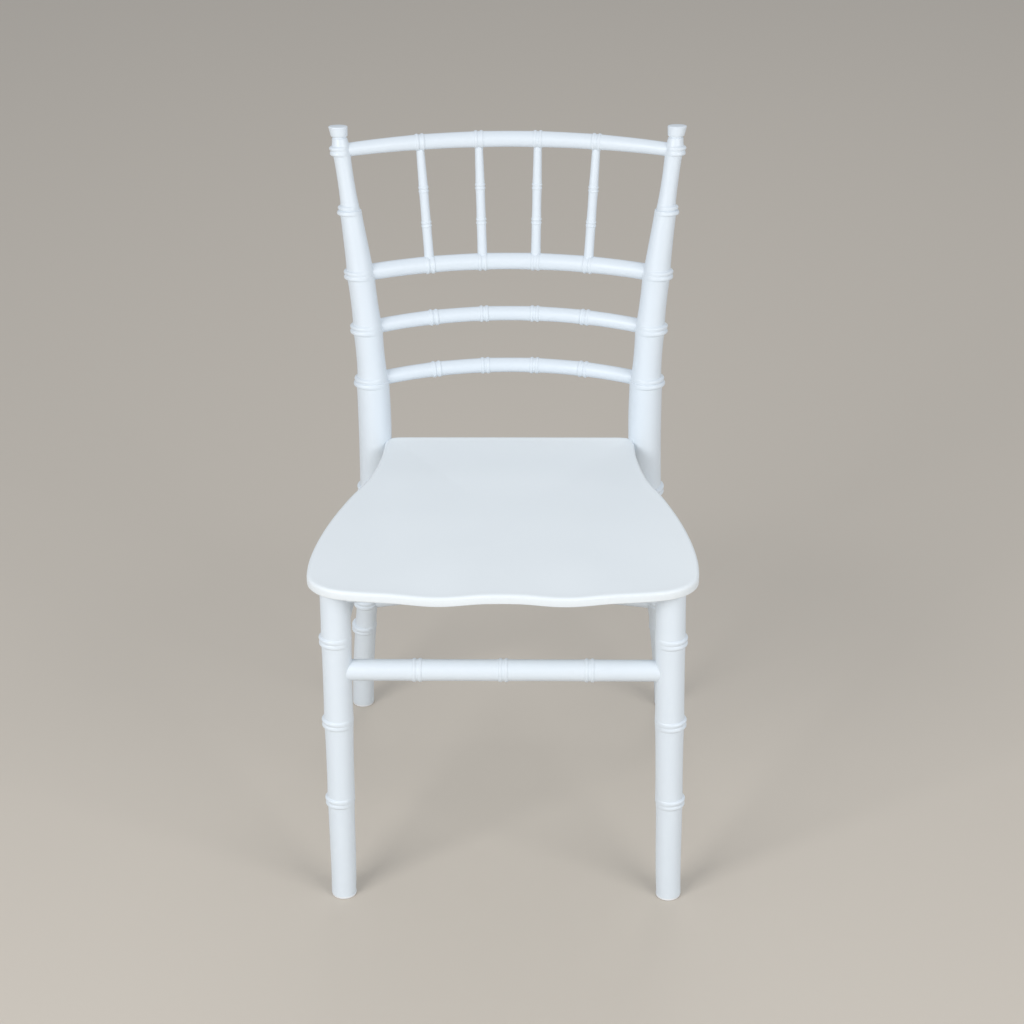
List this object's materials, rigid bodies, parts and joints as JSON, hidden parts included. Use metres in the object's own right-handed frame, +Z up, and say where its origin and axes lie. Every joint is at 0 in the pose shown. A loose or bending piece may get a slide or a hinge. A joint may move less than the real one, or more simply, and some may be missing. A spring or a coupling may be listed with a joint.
{
  "type": "chiavari chair",
  "caption": "White moulded bamboo-pattern banquet chair with a spindle back, turned legs and a smooth moulded seat.",
  "frame": {"origin": "on the floor, under the middle of the chair's width and depth", "axes": "+Z up, -Y towards the front of the seat, +X to the right seen from the front"},
  "size_m": [0.4612, 0.5029, 0.8394],
  "materials": {
    "white_stick": "moulded, satin gloss",
    "white_seat": "moulded, fine satin",
    "plug": "moulded, satin gloss",
    "screw_steel": "zinc plated",
    "glide": "smooth nylon"
  },
  "bodies": {
    "root": {"back_post_left": "white_stick", "back_post_right": "white_stick", "top_rail": "white_stick", "upper_back_rail": "white_stick", "middle_back_rail": "white_stick", "lower_back_rail": "white_stick", "spindle_1": "white_stick", "spindle_2": "white_stick", "spindle_3": "white_stick", "spindle_4": "white_stick", "front_leg_left": "white_stick", "front_leg_right": "white_stick", "front_stretcher": "white_stick", "side_stretcher_left": "white_stick", "side_stretcher_right": "white_stick", "rear_stretcher": "white_stick", "seat_rail_front": "white_stick", "seat_rail_rear": "white_stick", "seat_rail_left": "white_stick", "seat_rail_right": "white_stick", "seat_pan": "white_seat", "bolt_plugs": "plug", "frame_bolts": "screw_steel", "barrel_nuts": "screw_steel", "seat_screws": "screw_steel", "front_foot_glide_left": "glide", "front_foot_glide_right": "glide", "rear_foot_glide_left": "glide", "rear_foot_glide_right": "glide"}
  },
  "joints": []
}
